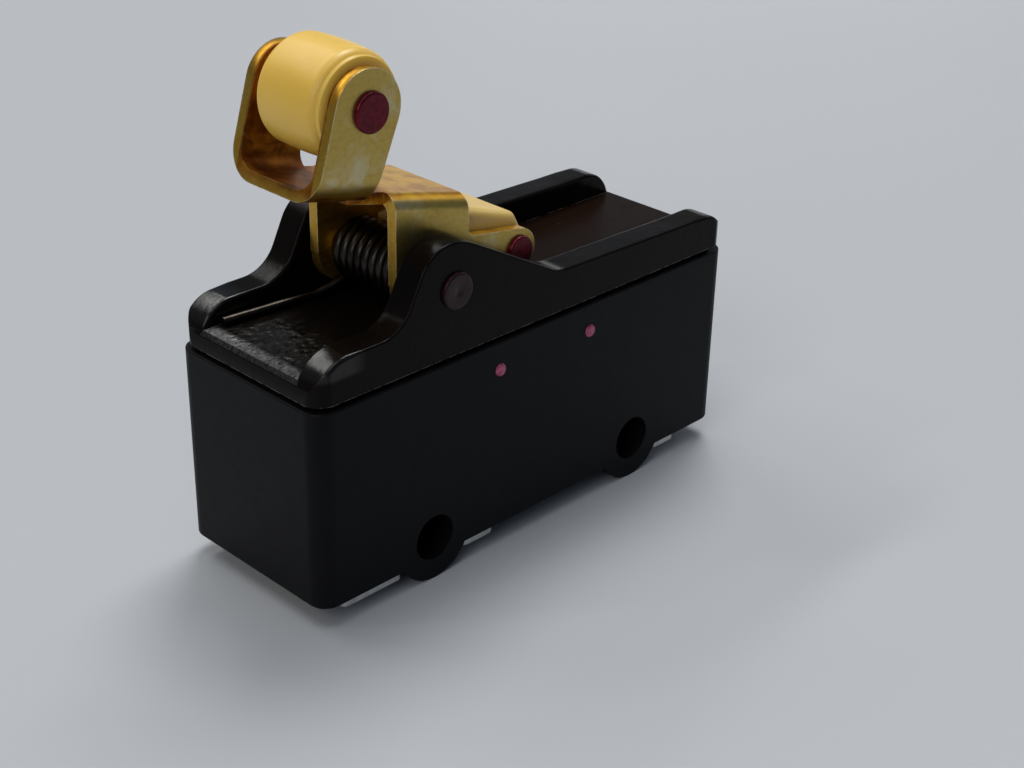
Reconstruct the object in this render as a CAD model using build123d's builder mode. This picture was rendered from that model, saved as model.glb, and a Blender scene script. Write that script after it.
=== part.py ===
"""Reverse-acting roller-lever snap-action limit switch.

Units are millimetres. +Z is up, +X runs along the case towards the plunger
end, and the origin is below the middle of the case, level with the bottoms
of the mounting lugs.
"""

import math
import os

from build123d import *

# ---------------------------------------------------------------- dimensions
CASE_L = 50.2          # case length
CASE_W = 18.1          # case width
CORNER_R = 1.75        # vertical corners of the case
FLOOR_Z = 1.9          # underside of the case
RIM_Z = 20.05          # top rim of the case
WALL = 2.2             # case wall
HOLE_X = 12.7          # mounting holes, 25.4 apart
HOLE_Z = 4.05
HOLE_R = 2.1
LUG_R = 4.05
LOW_FLOOR_Z = 4.5
HUMP_Z = 8.2           # inner floor over the mounting holes
HUMP_A, HUMP_B = 8.1, 17.3

COVER_IN = 0.25        # cover outline inside the long sides of the case
COVER_X0 = -24.85      # ends of the cover
COVER_X1 = 25.1
NECK_IN = 0.9          # shadow groove between case and cover
GROOVE_Z = 20.45       # underside of the cover plate
DECK_L_Z = 22.2        # left deck
DECK_R_Z = 21.4        # right deck
DECK_STEP_X = -6.0
CHEEK_IN = 6.0         # inner faces of the cheeks
CHEEK_OUT = CASE_W / 2 - COVER_IN
CHEEK_L_Z = 24.22      # cheek tops at the left and right ends
CHEEK_R_Z = 23.92
END_R = 3.4            # rounded ends of the cheeks, seen from the side
END_EDGE_R = 0.4      # soft outer edge around the ends
END_PLAN_R = 2.0      # corners of the cheek ends, seen from above
END_PLAN_OUT = 0.04    # how far those corners start outside the end faces
EDGE_OUT_R = 0.2       # long outer edges of the cheeks
EDGE_IN_R = 0.3        # long inner edges of the cheeks
FADE_L = 1.55          # length in which the end edge fades into the long edge

PIN_X = (-5.1, 6.1)    # cover pins
PIN_Z = 17.45
PIN_R = 0.6

PX, PZ = -10.12, 26.28     # lever pivot
RX, RZ = -15.95, 41.67     # roller pin
EX, EZ = -16.14, 41.8      # middle of the rounded ears
SX, SZ = 0.52, 25.65       # shoe pin

SHEET = 1.0            # lever sheet
LEVER_OUT = 5.4        # outer faces of ears and walls
WEB_TAN = 0.2451       # fall of the web towards +X
WEB_X0, WEB_Z0 = -21.44, 36.16
WEB_ANG = math.atan(WEB_TAN)
EAR_R = 3.3
FRONT_LEAN = math.radians(16.83)
REAR_LEAN = math.radians(23.05)
CH_X0, CH_X1 = -13.51, -5.49
PIVOT_LOBE_R = 3.33
ARM_R = 1.97

PIVOT_R = 1.40
PIVOT_HEAD_R, PIVOT_HEAD_T = 1.6, 0.36
ROLLER_HEAD_R, ROLLER_HEAD_T = 1.66, 0.4
SHOE_HEAD_R, SHOE_HEAD_T = 1.38, 0.42
ROLLER_R = 4.59         # crown of the roller
ROLLER_END_R = 4.05     # shoulder at its near end
SPRING_R = 2.45
WIRE_R = 0.41
SPRING_TURNS = 8.25
SPRING_PITCH = 0.885

COM_X, NC_X, NO_X = -19.4, -5.4, 20.2   # terminal posts
PLATE_Z0, PLATE_Z1 = 1.35, 1.9          # terminal plates
BLADE_Z0, BLADE_Z1 = 11.3, 11.65
PLUNGER_X = 0.35


def web_z(x):
    """Height of the upper face of the lever web."""
    return WEB_Z0 - (x - WEB_X0) * WEB_TAN


def tangent_pair(cx, cz, r, px, pz):
    """The two points where lines from (px, pz) touch a circle."""
    d = math.hypot(px - cx, pz - cz)
    base = math.atan2(pz - cz, px - cx)
    off = math.acos(r / d)
    return [
        (cx + r * math.cos(base + s * off), cz + r * math.sin(base + s * off))
        for s in (1, -1)
    ]


XZ = Plane.XZ          # local x = X, local y = Z, normal -Y

# ---------------------------------------------------------------------- case
with BuildPart() as case:
    with BuildSketch(Plane.XY.offset(FLOOR_Z)):
        RectangleRounded(CASE_L, CASE_W, CORNER_R)
    extrude(amount=RIM_Z - FLOOR_Z)
    chamfer(case.faces().sort_by(Axis.Z)[0].edges(), 0.25)
    fillet(case.faces().sort_by(Axis.Z)[-1].outer_wire().edges(), 0.15)
    with BuildSketch(XZ):
        with Locations((-HOLE_X, HOLE_Z), (HOLE_X, HOLE_Z)):
            Circle(LUG_R)
    extrude(amount=CASE_W / 2, both=True)
    with BuildSketch(XZ):
        with BuildLine():
            Polyline(
                (-CASE_L / 2 + WALL, RIM_Z + 1),
                (-CASE_L / 2 + WALL, LOW_FLOOR_Z),
                (-HUMP_B, LOW_FLOOR_Z),
                (-HUMP_B, HUMP_Z),
                (-HUMP_A, HUMP_Z),
                (-HUMP_A, LOW_FLOOR_Z),
                (HUMP_A, LOW_FLOOR_Z),
                (HUMP_A, HUMP_Z),
                (HUMP_B, HUMP_Z),
                (HUMP_B, LOW_FLOOR_Z),
                (CASE_L / 2 - WALL, LOW_FLOOR_Z),
                (CASE_L / 2 - WALL, RIM_Z + 1),
                close=True,
            )
        make_face()
    extrude(amount=CASE_W / 2 - WALL, both=True, mode=Mode.SUBTRACT)
    with BuildSketch(XZ):
        with Locations((-HOLE_X, HOLE_Z), (HOLE_X, HOLE_Z)):
            Circle(HOLE_R)
    extrude(amount=CASE_W, both=True, mode=Mode.SUBTRACT)
    with BuildSketch(XZ):
        with Locations((PIN_X[0], PIN_Z), (PIN_X[1], PIN_Z)):
            Circle(PIN_R + 0.02)
    extrude(amount=CASE_W, both=True, mode=Mode.SUBTRACT)
    with BuildSketch(Plane.XY):
        with Locations((COM_X, 0), (NC_X, 0), (NO_X, 0)):
            Circle(2.02)
    extrude(amount=LOW_FLOOR_Z + 0.5, mode=Mode.SUBTRACT)
case.part.label = "case"

# --------------------------------------------------------------------- cover
L_AXIS = (COVER_X0 + END_R, CHEEK_L_Z - END_R)      # middles of the end rounds
R_AXIS = (COVER_X1 - END_R, CHEEK_R_Z - END_R)
L_FADE = L_AXIS[0] + FADE_L
R_FADE = R_AXIS[0] - FADE_L
CHEEK_Y = (CHEEK_IN + CHEEK_OUT) / 2
CHEEK_T = CHEEK_OUT - CHEEK_IN

with BuildPart() as cheeks:
    # long middle piece of the cheek on the +Y side
    with BuildSketch(Plane.XZ.offset(-CHEEK_OUT)) as cheek_side:
        with BuildLine():
            Polyline(
                (L_FADE, GROOVE_Z),
                (L_FADE, CHEEK_L_Z),
                (-15.97, CHEEK_L_Z),
                (-12.9, 30.48),
                (-9.38, 30.48),
                (2.05, 24.32),
                (R_FADE - 2.0, CHEEK_R_Z),
                (R_FADE, CHEEK_R_Z),
                (R_FADE, GROOVE_Z),
                close=True,
            )
        make_face()
        for px, pz, r in (
            (-15.97, CHEEK_L_Z, 3.6),
            (-12.9, 30.48, 3.6),
            (-9.38, 30.48, 5.0),
            (2.05, 24.32, 4.8),
            (R_FADE - 2.0, CHEEK_R_Z, 40.0),
        ):
            fillet(cheek_side.vertices().sort_by_distance((px, pz, 0))[0], r)
    extrude(amount=CHEEK_T)
    for y, r in ((CHEEK_OUT, EDGE_OUT_R), (CHEEK_IN, EDGE_IN_R)):
        fillet(
            [
                e
                for e in cheeks.edges()
                if abs(e.center().Y - y) < 0.01
                and e.center().Z > 22.5
                and L_FADE + 0.1 < e.center().X < R_FADE - 0.1
            ],
            r,
        )
    # pieces in which the long edge widens into the soft edge of the end
    for x0, x1, top in ((L_FADE, L_AXIS[0], CHEEK_L_Z), (R_FADE, R_AXIS[0], CHEEK_R_Z)):
        for x, r in ((x0, EDGE_OUT_R), (x1, END_EDGE_R)):
            with BuildSketch(Plane.YZ.offset(x)) as fade:
                with Locations((CHEEK_Y, (GROOVE_Z + top) / 2)):
                    Rectangle(CHEEK_T, top - GROOVE_Z)
                fillet(fade.vertices().sort_by_distance((CHEEK_OUT, top, 0))[0], r)
                fillet(fade.vertices().sort_by_distance((CHEEK_IN, top, 0))[0], EDGE_IN_R)
        loft(ruled=True)
    # rounded ends above, straight corners below
    for (ax, az), x_end, turn in ((L_AXIS, COVER_X0, -1), (R_AXIS, COVER_X1, 1)):
        with BuildSketch(Plane.YZ.offset(ax)) as end:
            with Locations((CHEEK_Y, az + END_R / 2)):
                Rectangle(CHEEK_T, END_R)
            fillet(end.vertices().sort_by_distance((CHEEK_OUT, az + END_R, 0))[0], END_EDGE_R)
            fillet(end.vertices().sort_by_distance((CHEEK_IN, az + END_R, 0))[0], EDGE_IN_R)
        revolve(axis=Axis((ax, 0, az), (0, turn, 0)), revolution_arc=90)
        with BuildSketch(Plane.XY.offset(GROOVE_Z)) as corner:
            with Locations(((ax + x_end) / 2, CHEEK_Y)):
                Rectangle(END_R, CHEEK_T)
        extrude(amount=az - GROOVE_Z)
    # rounded corners seen from above
    with BuildSketch(Plane.XY.offset(GROOVE_Z - 1)):
        with Locations(((COVER_X0 + COVER_X1) / 2, 0)):
            RectangleRounded(
                COVER_X1 - COVER_X0 + 2 * END_PLAN_OUT,
                2 * (CHEEK_OUT + END_PLAN_OUT),
                END_PLAN_R,
            )
    extrude(amount=14, mode=Mode.INTERSECT)
    mirror(about=Plane.XZ)


def on_end(axis, side, z):
    """X of the rounded cheek end at height z."""
    return axis[0] + side * math.sqrt(END_R**2 - (z - axis[1]) ** 2)


with BuildPart() as cover:
    # plate with the two decks
    with BuildSketch(XZ):
        with BuildLine():
            left_low = Line((COVER_X0, GROOVE_Z), (COVER_X0, L_AXIS[1]))
            left_round = ThreePointArc(
                left_low @ 1,
                (on_end(L_AXIS, -1, DECK_L_Z - 0.7), DECK_L_Z - 0.7),
                (on_end(L_AXIS, -1, DECK_L_Z - 0.4), DECK_L_Z - 0.4),
            )
            decks = Polyline(
                left_round @ 1,
                (COVER_X0 + 0.4, DECK_L_Z),
                (DECK_STEP_X, DECK_L_Z),
                (DECK_STEP_X, DECK_R_Z),
                (COVER_X1 - 0.14, DECK_R_Z),
                (on_end(R_AXIS, 1, DECK_R_Z - 0.12), DECK_R_Z - 0.12),
            )
            right_round = ThreePointArc(
                decks @ 1,
                (on_end(R_AXIS, 1, DECK_R_Z - 0.3), DECK_R_Z - 0.3),
                (COVER_X1, R_AXIS[1]),
            )
            Polyline(right_round @ 1, (COVER_X1, GROOVE_Z), left_low @ 0)
        make_face()
    extrude(amount=CHEEK_IN + 0.6, both=True)
    add(cheeks.part)
    # neck behind the shadow groove, and the skirt that enters the case
    with BuildSketch(Plane.XY.offset(RIM_Z)):
        RectangleRounded(CASE_L - 2 * NECK_IN, CASE_W - 2 * NECK_IN, 1.1)
    extrude(amount=GROOVE_Z - RIM_Z)
    with BuildSketch(Plane.XY.offset(18.6)):
        RectangleRounded(CASE_L - 2 * WALL - 0.2, CASE_W - 2 * WALL - 0.2, 0.5)
        RectangleRounded(CASE_L - 2 * WALL - 2.6, CASE_W - 2 * WALL - 2.6, 0.5, mode=Mode.SUBTRACT)
    extrude(amount=RIM_Z - 18.6)
    # cross ribs that take the cover pins
    for x in PIN_X:
        with BuildSketch(Plane.XY.offset(15.9)):
            with Locations((x, 0)):
                Rectangle(3.0, CASE_W - 2 * WALL - 0.2)
        extrude(amount=RIM_Z - 15.9)
    # guide bosses of the plunger, inside and on the deck
    with BuildSketch(Plane.XY.offset(18.6)):
        with Locations((PLUNGER_X, 0)):
            Circle(3.2)
    extrude(amount=RIM_Z - 18.6)
    with BuildSketch(Plane.XY.offset(DECK_R_Z)):
        with Locations((PLUNGER_X, 0)):
            Circle(3.2)
    extrude(amount=1.0)
    # bosses on the inner faces of the cheeks, beside the lever
    for y0 in (-CHEEK_IN, LEVER_OUT + 0.25):
        with BuildSketch(Plane.XZ.offset(-y0 - (CHEEK_IN - LEVER_OUT - 0.25))):
            with Locations((PX, PZ)):
                Circle(2.7)
        extrude(amount=CHEEK_IN - LEVER_OUT - 0.25)
    # bores
    with BuildSketch(XZ):
        with Locations((PX, PZ)):
            Circle(PIVOT_R + 0.02)
    extrude(amount=CASE_W, both=True, mode=Mode.SUBTRACT)
    with BuildSketch(XZ):
        with Locations((PIN_X[0], PIN_Z), (PIN_X[1], PIN_Z)):
            Circle(PIN_R + 0.02)
    extrude(amount=CASE_W, both=True, mode=Mode.SUBTRACT)
    with BuildSketch(Plane.XY.offset(15)):
        with Locations((PLUNGER_X, 0)):
            Circle(1.65)
    extrude(amount=10, mode=Mode.SUBTRACT)
cover.part.label = "cover"

# ---------------------------------------------------------------- cover pins
with BuildPart() as cover_pins:
    for x in PIN_X:
        with BuildSketch(XZ):
            with Locations((x, PIN_Z)):
                Circle(PIN_R)
        extrude(amount=CASE_W / 2 + 0.15, both=True)
    chamfer(cover_pins.edges().filter_by(GeomType.CIRCLE), 0.12)
cover_pins.part.label = "cover_pins"

# ----------------------------------------------------------------- pivot pin
with BuildPart() as pivot_pin:
    with BuildSketch(XZ):
        with Locations((PX, PZ)):
            Circle(PIVOT_R)
    extrude(amount=CHEEK_OUT + 0.05, both=True)
    for plane in (Plane.XZ.offset(CHEEK_OUT), Plane.XZ.offset(-CHEEK_OUT - PIVOT_HEAD_T)):
        with BuildSketch(plane):
            with Locations((PX, PZ)):
                Circle(PIVOT_HEAD_R)
        extrude(amount=PIVOT_HEAD_T)
    rims = [
        e
        for e in pivot_pin.edges().filter_by(GeomType.CIRCLE)
        if abs(abs(e.center().Y) - CHEEK_OUT - PIVOT_HEAD_T) < 0.01
    ]
    fillet(rims, 0.2)
    for plane in (Plane.XZ.offset(CHEEK_OUT + PIVOT_HEAD_T), Plane.XZ.offset(-CHEEK_OUT - PIVOT_HEAD_T)):
        with BuildSketch(plane):
            with Locations((PX, PZ)):
                Circle(0.42)
        extrude(amount=0.12 if plane.origin.Y > 0 else -0.12, mode=Mode.SUBTRACT)
pivot_pin.part.label = "pivot_pin"

# -------------------------------------------------------------- pivot sleeve
with BuildPart() as pivot_sleeve:
    with BuildSketch(XZ):
        with Locations((PX, PZ)):
            Circle(1.85)
            Circle(PIVOT_R + 0.02, mode=Mode.SUBTRACT)
    extrude(amount=4.2, both=True)
pivot_sleeve.part.label = "pivot_sleeve"

# --------------------------------------------------------------------- lever
web_x = Vector(math.cos(WEB_ANG), 0, -math.sin(WEB_ANG))
web_n = Vector(math.sin(WEB_ANG), 0, math.cos(WEB_ANG))
# section plane across the web: local x = Y, local y = web normal
section = Plane(origin=(WEB_X0, 0, WEB_Z0), x_dir=(0, 1, 0), z_dir=(web_x.X, web_x.Y, web_x.Z))
EAR_OUT_R, EAR_IN_R = 2.75, 1.75
SHO_OUT_R, SHO_IN_R = 1.35, 0.75

ear_front = (EX - EAR_R * math.cos(FRONT_LEAN), EZ + EAR_R * math.sin(FRONT_LEAN))
ear_rear = (EX + EAR_R * math.cos(REAR_LEAN), EZ - EAR_R * math.sin(REAR_LEAN))


def down(point, lean, z):
    """Follow an ear edge from point down to height z."""
    return (point[0] - (point[1] - z) * math.tan(lean), z)


with BuildPart() as fork:
    with BuildSketch(section.offset(-4)):
        with BuildLine():
            Polyline(
                (-LEVER_OUT, 18), (-LEVER_OUT, -SHEET), (LEVER_OUT, -SHEET), (LEVER_OUT, 18),
                close=True,
            )
        make_face()
        with Locations((0, 9.5)):
            Rectangle(2 * (LEVER_OUT - SHEET), 19, mode=Mode.SUBTRACT)
    extrude(amount=14)
    outer = [
        e for e in fork.edges().filter_by(lambda e: e.geom_type == GeomType.LINE and e.length > 13.9 and e.length < 14.1)
    ]
    low = [e for e in outer if abs(abs(e.center().Y) - LEVER_OUT) < 0.01 and (e.center() - Vector(WEB_X0, 0, WEB_Z0)).dot(web_n) < 0]
    fillet(low, EAR_OUT_R)
    inner = [
        e
        for e in fork.edges().filter_by(GeomType.LINE)
        if abs(abs(e.center().Y) - LEVER_OUT + SHEET) < 0.01
        and abs((e.center() - Vector(WEB_X0, 0, WEB_Z0)).dot(web_n)) < 0.01
    ]
    fillet(inner, EAR_IN_R)
    with BuildSketch(XZ):
        with BuildLine():
            Polyline(
                ear_front,
                down(ear_front, FRONT_LEAN, 30),
                (down(ear_rear, REAR_LEAN, web_z(-15.4))[0], 30),
                down(ear_rear, REAR_LEAN, web_z(-15.4)),
                ear_rear,
                (EX, EZ),
                close=True,
            )
        make_face()
        with Locations((EX, EZ)):
            Circle(EAR_R)
    extrude(amount=8, both=True, mode=Mode.INTERSECT)

arm_top = tangent_pair(SX, SZ, ARM_R, CH_X1, 28.62)
arm_top = max(arm_top, key=lambda p: p[1])
# lower tangent between the pivot lobe and the arm end
dx, dz = SX - PX, SZ - PZ
dist = math.hypot(dx, dz)
ang = math.atan2(dz, dx) - math.acos((PIVOT_LOBE_R - ARM_R) / dist)
low_a = (PX + PIVOT_LOBE_R * math.cos(ang), PZ + PIVOT_LOBE_R * math.sin(ang))
low_b = (SX + ARM_R * math.cos(ang), SZ + ARM_R * math.sin(ang))

with BuildPart() as channel:
    with BuildSketch(section.offset(-1)):
        with Locations((0, -7.5)):
            Rectangle(2 * LEVER_OUT, 15)
        with Locations((0, -SHEET - 8)):
            Rectangle(2 * (LEVER_OUT - SHEET), 16, mode=Mode.SUBTRACT)
    extrude(amount=30)
    fillet(
        [
            e
            for e in channel.edges().filter_by(GeomType.LINE)
            if abs(abs(e.center().Y) - LEVER_OUT) < 0.01
            and abs((e.center() - Vector(WEB_X0, 0, WEB_Z0)).dot(web_n)) < 0.01
        ],
        SHO_OUT_R,
    )
    fillet(
        [
            e
            for e in channel.edges().filter_by(GeomType.LINE)
            if abs(abs(e.center().Y) - LEVER_OUT + SHEET) < 0.01
            and abs((e.center() - Vector(WEB_X0, 0, WEB_Z0)).dot(web_n) + SHEET) < 0.01
        ],
        SHO_IN_R,
    )
    with BuildSketch(XZ) as channel_side:
        with BuildLine():
            Polyline(
                (CH_X0, PZ),
                (CH_X0, 36),
                (CH_X1, 36),
                (CH_X1, 28.62),
                arm_top,
                (SX, SZ),
                low_b,
                low_a,
                (PX, PZ),
                close=True,
            )
        make_face()
        fillet(channel_side.vertices().sort_by_distance((CH_X1, 28.62, 0))[0], 0.8)
        with Locations((PX, PZ)):
            Circle(PIVOT_LOBE_R)
        with Locations((SX, SZ)):
            Circle(ARM_R)
    extrude(amount=8, both=True, mode=Mode.INTERSECT)

with BuildPart() as lever:
    add(fork.part)
    add(channel.part)
    # the strip of web between fork and channel, narrowed by the bend reliefs
    with BuildSketch(section.offset(4.5)):
        with Locations((0, -SHEET / 2)):
            Rectangle(2 * 4.0, SHEET)
    extrude(amount=5.0)
    with BuildSketch(XZ):
        with Locations((PX, PZ)):
            Circle(PIVOT_R + 0.05)
        with Locations((RX, RZ)):
            Circle(1.42)
        with Locations((SX, SZ)):
            Circle(0.97)
    extrude(amount=8, both=True, mode=Mode.SUBTRACT)
lever.part.label = "lever"

# -------------------------------------------------------------------- roller
with BuildPart() as roller:
    # half section through the axis: first coordinate along Y, second the radius
    with BuildSketch(Plane(origin=(RX, 0, RZ), x_dir=(0, 1, 0), z_dir=(1, 0, 0))) as barrel:
        with BuildLine():
            near = Polyline(
                (-4.22, 1.45), (-4.22, 2.5), (-4.1, 2.5), (-4.1, ROLLER_END_R - 0.1), (-3.75, ROLLER_END_R)
            )
            near_round = ThreePointArc(near @ 1, (-3.45, 4.33), (-2.9, 4.45))
            crown = ThreePointArc(near_round @ 1, (-0.2, ROLLER_R), (2.3, 4.54))
            far_round = ThreePointArc(crown @ 1, (2.8, 4.38), (3.0, 4.0))
            Polyline(far_round @ 1, (3.0, 2.5), (4.22, 2.5), (4.22, 1.45), (-4.22, 1.45))
        make_face()
    revolve(axis=Axis((RX, 0, RZ), (0, 1, 0)), revolution_arc=360)
roller.part.label = "roller"

# ---------------------------------------------------------------- roller pin
with BuildPart() as roller_pin:
    with BuildSketch(XZ):
        with Locations((RX, RZ)):
            Circle(1.40)
    extrude(amount=LEVER_OUT + 0.05, both=True)
    for plane in (Plane.XZ.offset(LEVER_OUT), Plane.XZ.offset(-LEVER_OUT - ROLLER_HEAD_T)):
        with BuildSketch(plane):
            with Locations((RX, RZ)):
                Circle(ROLLER_HEAD_R)
        extrude(amount=ROLLER_HEAD_T)
    fillet(
        [
            e
            for e in roller_pin.edges().filter_by(GeomType.CIRCLE)
            if abs(abs(e.center().Y) - LEVER_OUT - ROLLER_HEAD_T) < 0.01
        ],
        0.2,
    )
roller_pin.part.label = "roller_pin"

# ---------------------------------------------------------------------- shoe
CAM_X, CAM_Z, CAM_R = 0.38, 26.0, 1.95
cam_low = min(tangent_pair(CAM_X, CAM_Z, CAM_R, -6.9, 25.2), key=lambda p: p[1])
with BuildPart() as shoe:
    with BuildSketch(XZ) as shoe_side:
        with BuildLine():
            Polyline(
                (-6.9, 25.2),
                (-6.9, 28.3),
                (-5.6, 28.3),
                (-5.6, 30.85),
                (1.3, 28.55),
                (2.33, 26.6),
                (2.33, CAM_Z),
                (CAM_X, CAM_Z),
                cam_low,
                close=True,
            )
        make_face()
        fillet(shoe_side.vertices().sort_by_distance((1.3, 28.55, 0))[0], 1.0)
        fillet(shoe_side.vertices().sort_by_distance((2.33, 26.6, 0))[0], 1.5)
        with Locations((CAM_X, CAM_Z)):
            Circle(CAM_R)
    extrude(amount=4.3, both=True)
    fillet(
        [
            e
            for e in shoe.edges()
            if abs(abs(e.center().Y) - 4.3) < 0.01 and e.center().Z > 27.0 and e.center().X > -5.55
        ],
        0.75,
    )
    with BuildSketch(XZ):
        with Locations((SX, SZ)):
            Circle(0.97)
    extrude(amount=6, both=True, mode=Mode.SUBTRACT)
shoe.part.label = "shoe"

# ------------------------------------------------------------------ shoe pin
with BuildPart() as shoe_pin:
    with BuildSketch(XZ):
        with Locations((SX, SZ)):
            Circle(0.95)
    extrude(amount=LEVER_OUT + 0.05, both=True)
    for plane in (Plane.XZ.offset(LEVER_OUT), Plane.XZ.offset(-LEVER_OUT - SHOE_HEAD_T)):
        with BuildSketch(plane):
            with Locations((SX, SZ)):
                Circle(SHOE_HEAD_R)
        extrude(amount=SHOE_HEAD_T)
    fillet(
        [
            e
            for e in shoe_pin.edges().filter_by(GeomType.CIRCLE)
            if abs(abs(e.center().Y) - LEVER_OUT - SHOE_HEAD_T) < 0.01
        ],
        0.2,
    )
shoe_pin.part.label = "shoe_pin"

# ------------------------------------------------------------ torsion spring
SPRING_H = SPRING_TURNS * SPRING_PITCH
with BuildPart() as torsion_spring:
    with BuildLine() as coil:
        Helix(
            pitch=SPRING_PITCH,
            height=SPRING_H,
            radius=SPRING_R,
            center=(PX, SPRING_H / 2, PZ),
            direction=(0, -1, 0),
        )
    turns = coil.edges()[0]
    with BuildSketch(Plane(origin=turns @ 0, z_dir=turns % 0)):
        Circle(WIRE_R)
    sweep(path=turns, is_frenet=True)
    # leg on the left deck
    leg_z = DECK_L_Z + WIRE_R + 0.01
    with BuildLine() as deck_leg:
        Spline(
            turns @ 0,
            (-14.3, 4.62, leg_z),
            tangents=(-(turns % 0), (-0.9949, 0.1012, 0)),
        )
        Line((-14.3, 4.62, leg_z), (-22.85, 5.49, leg_z))
    with BuildSketch(Plane(origin=turns @ 0, z_dir=-(turns % 0))):
        Circle(WIRE_R)
    sweep(path=deck_leg.wire())
    # leg on the lip of the shoe
    with BuildLine() as shoe_leg:
        up = Line(turns @ 1, (turns @ 1) + (turns % 1) * 1.6)
        bend = TangentArc(
            up @ 1, ((up @ 1).X + 0.7, (up @ 1).Y - 0.05, 28.75), tangent=up % 1
        )
        Line(bend @ 1, (-5.85, (bend @ 1).Y, 28.75))
    with BuildSketch(Plane(origin=turns @ 1, z_dir=turns % 1)):
        Circle(WIRE_R)
    sweep(path=shoe_leg.wire())
torsion_spring.part.label = "torsion_spring"

# ------------------------------------------------------------------- plunger
with BuildPart() as plunger:
    for r, z0, z1 in ((1.2, 11.8, 15.6), (2.9, 15.6, 17.2), (1.6, 17.2, 23.92)):
        with BuildSketch(Plane.XY.offset(z0)):
            with Locations((PLUNGER_X, 0)):
                Circle(r)
        extrude(amount=z1 - z0)
    fillet(plunger.faces().sort_by(Axis.Z)[0].edges(), 0.5)
    chamfer(plunger.faces().sort_by(Axis.Z)[-1].edges(), 0.2)
plunger.part.label = "plunger"

# ---------------------------------------------------------------- snap blade
with BuildPart() as snap_blade:
    with BuildSketch(Plane.XY.offset(BLADE_Z0)):
        with BuildLine():
            Polyline(
                (-21.6, -2.2), (-16.8, -2.2), (-15.6, -1.6), (14.0, -1.6), (14.0, -3.4),
                (19.0, -3.4), (22.0, -1.7), (22.0, 1.7), (19.0, 3.4), (14.0, 3.4),
                (14.0, 1.6), (-15.6, 1.6), (-16.8, 2.2), (-21.6, 2.2),
                close=True,
            )
        make_face()
        with Locations((COM_X, 0)):
            Circle(1.22, mode=Mode.SUBTRACT)
        with Locations((NO_X, 0)):
            Circle(0.65, mode=Mode.SUBTRACT)
    extrude(amount=BLADE_Z1 - BLADE_Z0)
    with BuildSketch(XZ):
        with BuildLine():
            low_leaf = ThreePointArc((14.2, BLADE_Z0), (2.6, 12.75), (-9.05, BLADE_Z0 + 0.1))
            Line(low_leaf @ 1, (-9.05, BLADE_Z1 + 0.1))
            up_leaf = ThreePointArc((-9.05, BLADE_Z1 + 0.1), (2.6, 13.1), (14.2, BLADE_Z1))
            Line(up_leaf @ 1, (14.2, BLADE_Z0))
        make_face()
    extrude(amount=3.4, both=True)
    with BuildSketch(Plane.XY.offset(BLADE_Z1 + 0.005)):
        with Locations((2.45, 0)):
            Rectangle(23.3, 4.4)
    extrude(amount=3, mode=Mode.SUBTRACT)
    with BuildSketch(Plane.XY.offset(BLADE_Z0 - 1)):
        with Locations((2.2, 1.9), (2.2, -1.9)):
            Rectangle(23.6, 0.6)
    extrude(amount=4, mode=Mode.SUBTRACT)
snap_blade.part.label = "snap_blade"

# ------------------------------------------------------------ moving contact
with BuildPart() as moving_contact:
    for r, z0, z1 in (
        (1.5, 10.7, BLADE_Z0 - 0.02),
        (0.6, BLADE_Z0 - 0.02, BLADE_Z1 + 0.02),
        (1.5, BLADE_Z1 + 0.02, 12.25),
    ):
        with BuildSketch(Plane.XY.offset(z0)):
            with Locations((NO_X, 0)):
                Circle(r)
        extrude(amount=z1 - z0)
moving_contact.part.label = "moving_contact"

# --------------------------------------------------------------- leaf anchor
with BuildPart() as leaf_anchor:
    with BuildSketch(Plane.XY.offset(HUMP_Z)):
        with Locations(((-21.8 - 9.2) / 2, 0)):
            Rectangle(12.6, 6.6)
        with Locations((COM_X, 0)):
            Circle(1.22, mode=Mode.SUBTRACT)
    extrude(amount=0.8)
    with BuildSketch(Plane.XY.offset(HUMP_Z)):
        with Locations((-9.6, -2.6), (-9.6, 2.6)):
            Rectangle(0.8, 1.4)
    extrude(amount=12.7 - HUMP_Z)
    with BuildSketch(XZ):
        with BuildLine():
            Polyline((-9.0, 12.15), (-9.52, 11.575), (-9.0, 11.0), close=True)
        make_face()
    extrude(amount=4, both=True, mode=Mode.SUBTRACT)
leaf_anchor.part.label = "leaf_anchor"

# -------------------------------------------------------------- blade spacer
with BuildPart() as blade_spacer:
    with BuildSketch(Plane.XY.offset(HUMP_Z + 0.8)):
        with Locations((COM_X, 0)):
            Circle(2.2)
            Circle(1.22, mode=Mode.SUBTRACT)
    extrude(amount=BLADE_Z0 - HUMP_Z - 0.8)
blade_spacer.part.label = "blade_spacer"

# ----------------------------------------------------------------- blade nut
with BuildPart() as blade_nut:
    with BuildSketch(Plane.XY.offset(BLADE_Z1)):
        with Locations((COM_X, 0)):
            RegularPolygon(2.5, 6, major_radius=False)
            Circle(1.22, mode=Mode.SUBTRACT)
    extrude(amount=1.8)
blade_nut.part.label = "blade_nut"

# --------------------------------------------------------------------- posts
with BuildPart() as common_post:
    for r, z0, z1 in ((2.4, 0.75, PLATE_Z0), (2.0, PLATE_Z0, HUMP_Z), (1.2, HUMP_Z, 14.1)):
        with BuildSketch(Plane.XY.offset(z0)):
            with Locations((COM_X, 0)):
                Circle(r)
        extrude(amount=z1 - z0)
    with BuildSketch(Plane.XY.offset(0.75)):
        with Locations((COM_X, 0)):
            Circle(1.25)
    extrude(amount=5.0, mode=Mode.SUBTRACT)
    chamfer(common_post.faces().sort_by(Axis.Z)[-1].edges(), 0.25)
common_post.part.label = "common_post"

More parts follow.
